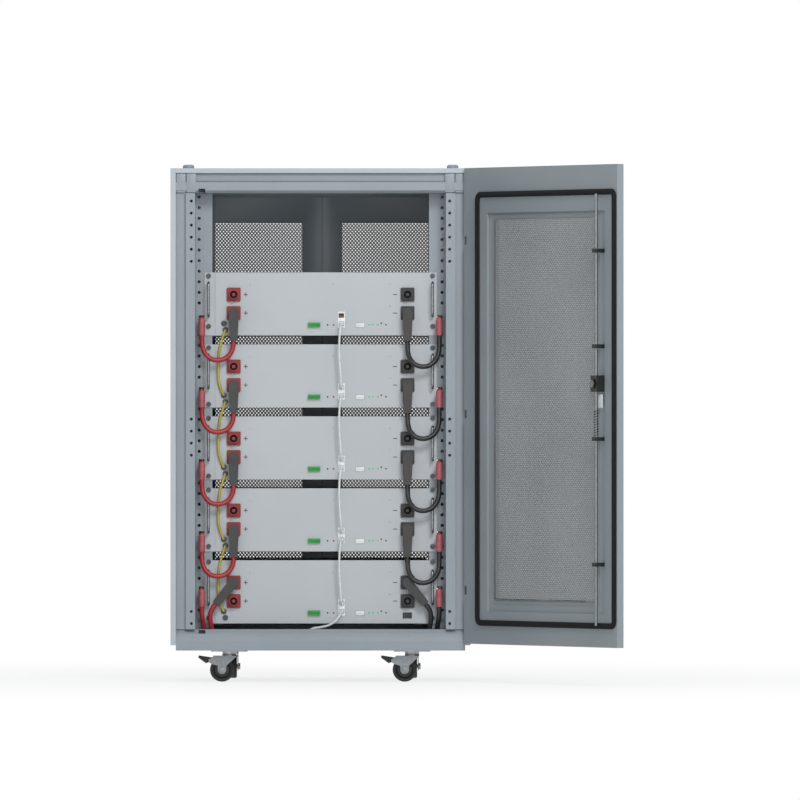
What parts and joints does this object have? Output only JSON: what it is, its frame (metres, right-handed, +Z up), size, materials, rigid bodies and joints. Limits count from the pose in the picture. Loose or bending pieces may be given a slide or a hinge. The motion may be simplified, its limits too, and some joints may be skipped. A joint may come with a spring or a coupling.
{
  "type": "server rack battery",
  "caption": "Nineteen-inch rack cabinet on casters with stacked battery modules, busbar cabling and a gasketed mesh front door.",
  "frame": {"origin": "centre of the base frame's four anchor holes, on the frame's underside", "axes": "+Z up, -Y out of the open front, +X to the front door's hinge side"},
  "size_m": [0.9307, 1.1737, 1.0741],
  "materials": {
    "frame_paint": "satin",
    "panel_paint": "satin",
    "door_paint": "satin",
    "mesh_paint": "satin",
    "module_paint": "satin",
    "gasket_foam": "matt",
    "red_plastic": "glossy",
    "black_plastic": "matt",
    "plug_plastic": "matt",
    "green_plastic": "matt",
    "white_plastic": "matt",
    "red_cable": "satin",
    "black_cable": "satin",
    "boot_rubber": "matt",
    "ground_sheath": "satin",
    "patch_sheath": "satin",
    "zinc_steel": "bright",
    "bright_chrome": "polished",
    "copper_bar": "satin",
    "insulator": "glossy",
    "cell_wrap": "satin",
    "board_laminate": "satin",
    "tyre_rubber": "matt"
  },
  "bodies": {
    "cabinet": {"base_frame": "frame_paint", "top_frame": "frame_paint", "corner_posts": "frame_paint", "mounting_rails": "frame_paint", "depth_braces": "frame_paint", "side_panels": "panel_paint", "roof_cover": "panel_paint", "roof_bolts": "frame_paint", "roof_fans": "black_plastic", "support_angles": "frame_paint", "module_cases": "module_paint", "module_front_panels": "module_paint", "module_ears": "module_paint", "module_handles": "bright_chrome", "ear_screws": "zinc_steel", "cell_packs": "cell_wrap", "battery_boards": "board_laminate", "positive_sockets": "red_plastic", "negative_sockets": "black_plastic", "positive_plugs": "plug_plastic", "negative_plugs": "plug_plastic", "signal_jacks": "zinc_steel", "dry_contact_terminals": "green_plastic", "ground_studs": "zinc_steel", "patch_plugs": "white_plastic", "cable_boots": "boot_rubber", "positive_cables": "red_cable", "negative_cables": "black_cable", "ground_wires": "ground_sheath", "patch_cables": "patch_sheath", "busbars": "copper_bar", "busbar_insulators": "insulator", "door_hinges": "zinc_steel", "caster_plates": "zinc_steel"},
    "front_door": {"front_door_pan": "door_paint", "front_door_mesh": "mesh_paint", "front_door_gasket": "gasket_foam", "lock_case": "black_plastic"},
    "door_handle": {"door_handle": "black_plastic"},
    "upper_lock_rod": {"upper_lock_rod": "zinc_steel"},
    "lower_lock_rod": {"lower_lock_rod": "zinc_steel"},
    "rear_door_left": {"rear_door_left": "door_paint"},
    "rear_door_right": {"rear_door_right": "door_paint"},
    "fan_rotor_left": {"fan_rotor_left": "black_plastic"},
    "fan_rotor_right": {"fan_rotor_right": "black_plastic"},
    "power_rocker_1": {"power_rocker_1": "black_plastic"},
    "power_rocker_2": {"power_rocker_2": "black_plastic"},
    "power_rocker_3": {"power_rocker_3": "black_plastic"},
    "power_rocker_4": {"power_rocker_4": "black_plastic"},
    "power_rocker_5": {"power_rocker_5": "black_plastic"},
    "caster_fork_front_left": {"caster_fork_front_left": "zinc_steel"},
    "caster_wheel_front_left": {"caster_wheel_front_left": "tyre_rubber"},
    "brake_pedal_front_left": {"brake_pedal_front_left": "black_plastic"},
    "caster_fork_front_right": {"caster_fork_front_right": "zinc_steel"},
    "caster_wheel_front_right": {"caster_wheel_front_right": "tyre_rubber"},
    "brake_pedal_front_right": {"brake_pedal_front_right": "black_plastic"},
    "caster_fork_rear_left": {"caster_fork_rear_left": "zinc_steel"},
    "caster_wheel_rear_left": {"caster_wheel_rear_left": "tyre_rubber"},
    "caster_fork_rear_right": {"caster_fork_rear_right": "zinc_steel"},
    "caster_wheel_rear_right": {"caster_wheel_rear_right": "tyre_rubber"}
  },
  "joints": [
    {"name": "front_door_hinge", "type": "hinge", "parent": "cabinet", "child": "front_door", "pos_m": [0.3065, -0.3151, 0.5], "axis": [0, 0, 1], "range_deg": [-120, 45]},
    {"name": "handle_turn", "type": "hinge", "parent": "front_door", "child": "door_handle", "pos_m": [0.58075, -0.79012, 0.553], "axis": [0.866, 0.5, 0], "range_deg": [0, 90]},
    {"name": "upper_rod_slide", "type": "slide", "parent": "front_door", "child": "upper_lock_rod", "axis": [0, 0, 1], "range_m": [0, 0.015]},
    {"name": "lower_rod_slide", "type": "slide", "parent": "front_door", "child": "lower_lock_rod", "axis": [0, 0, -1], "range_m": [0, 0.015]},
    {"name": "rear_left_hinge", "type": "hinge", "parent": "cabinet", "child": "rear_door_left", "pos_m": [-0.3065, 0.3151, 0.5], "axis": [0, 0, 1], "range_deg": [0, 110]},
    {"name": "rear_right_hinge", "type": "hinge", "parent": "cabinet", "child": "rear_door_right", "pos_m": [0.3065, 0.3151, 0.5], "axis": [0, 0, -1], "range_deg": [0, 110]},
    {"name": "fan_left_spin", "type": "hinge", "parent": "cabinet", "child": "fan_rotor_left", "pos_m": [-0.177, 0, 0.986], "axis": [0, 0, 1], "continuous": true},
    {"name": "fan_right_spin", "type": "hinge", "parent": "cabinet", "child": "fan_rotor_right", "pos_m": [0.177, 0, 0.986], "axis": [0, 0, 1], "continuous": true},
    {"name": "power_rocker_1_tilt", "type": "hinge", "parent": "cabinet", "child": "power_rocker_1", "pos_m": [0.18, -0.245, 0.6703], "axis": [0, 0, 1], "range_deg": [-5, 5]},
    {"name": "power_rocker_2_tilt", "type": "hinge", "parent": "cabinet", "child": "power_rocker_2", "pos_m": [0.18, -0.245, 0.5208], "axis": [0, 0, 1], "range_deg": [-5, 5]},
    {"name": "power_rocker_3_tilt", "type": "hinge", "parent": "cabinet", "child": "power_rocker_3", "pos_m": [0.18, -0.245, 0.3713], "axis": [0, 0, 1], "range_deg": [-5, 5]},
    {"name": "power_rocker_4_tilt", "type": "hinge", "parent": "cabinet", "child": "power_rocker_4", "pos_m": [0.18, -0.245, 0.2218], "axis": [0, 0, 1], "range_deg": [-5, 5]},
    {"name": "power_rocker_5_tilt", "type": "hinge", "parent": "cabinet", "child": "power_rocker_5", "pos_m": [0.18, -0.245, 0.0723], "axis": [0, 0, 1], "range_deg": [-5, 5]},
    {"name": "caster_front_left_swivel", "type": "hinge", "parent": "cabinet", "child": "caster_fork_front_left", "pos_m": [-0.19, -0.19, -0.0125], "axis": [0, 0, 1], "continuous": true},
    {"name": "caster_front_left_spin", "type": "hinge", "parent": "caster_fork_front_left", "child": "caster_wheel_front_left", "pos_m": [-0.2055, -0.19, -0.0415], "axis": [0, 1, 0], "continuous": true},
    {"name": "brake_pedal_front_left_tip", "type": "hinge", "parent": "caster_fork_front_left", "child": "brake_pedal_front_left", "pos_m": [-0.228, -0.19, -0.02], "axis": [0, 1, 0], "range_deg": [-4, 6]},
    {"name": "caster_front_right_swivel", "type": "hinge", "parent": "cabinet", "child": "caster_fork_front_right", "pos_m": [0.19, -0.19, -0.0125], "axis": [0, 0, 1], "continuous": true},
    {"name": "caster_front_right_spin", "type": "hinge", "parent": "caster_fork_front_right", "child": "caster_wheel_front_right", "pos_m": [0.1745, -0.19, -0.0415], "axis": [0, 1, 0], "continuous": true},
    {"name": "brake_pedal_front_right_tip", "type": "hinge", "parent": "caster_fork_front_right", "child": "brake_pedal_front_right", "pos_m": [0.152, -0.19, -0.02], "axis": [0, 1, 0], "range_deg": [-4, 6]},
    {"name": "caster_rear_left_swivel", "type": "hinge", "parent": "cabinet", "child": "caster_fork_rear_left", "pos_m": [-0.19, 0.19, -0.0125], "axis": [0, 0, 1], "continuous": true},
    {"name": "caster_rear_left_spin", "type": "hinge", "parent": "caster_fork_rear_left", "child": "caster_wheel_rear_left", "pos_m": [-0.19, 0.2055, -0.0415], "axis": [1, 0, 0], "continuous": true},
    {"name": "caster_rear_right_swivel", "type": "hinge", "parent": "cabinet", "child": "caster_fork_rear_right", "pos_m": [0.19, 0.19, -0.0125], "axis": [0, 0, 1], "continuous": true},
    {"name": "caster_rear_right_spin", "type": "hinge", "parent": "caster_fork_rear_right", "child": "caster_wheel_rear_right", "pos_m": [0.19, 0.2055, -0.0415], "axis": [1, 0, 0], "continuous": true}
  ],
  "couplings": [
    {"joint": "upper_rod_slide", "follows": "handle_turn", "m_per_rad": 0.0095493},
    {"joint": "lower_rod_slide", "follows": "handle_turn", "m_per_rad": 0.0095493}
  ]
}
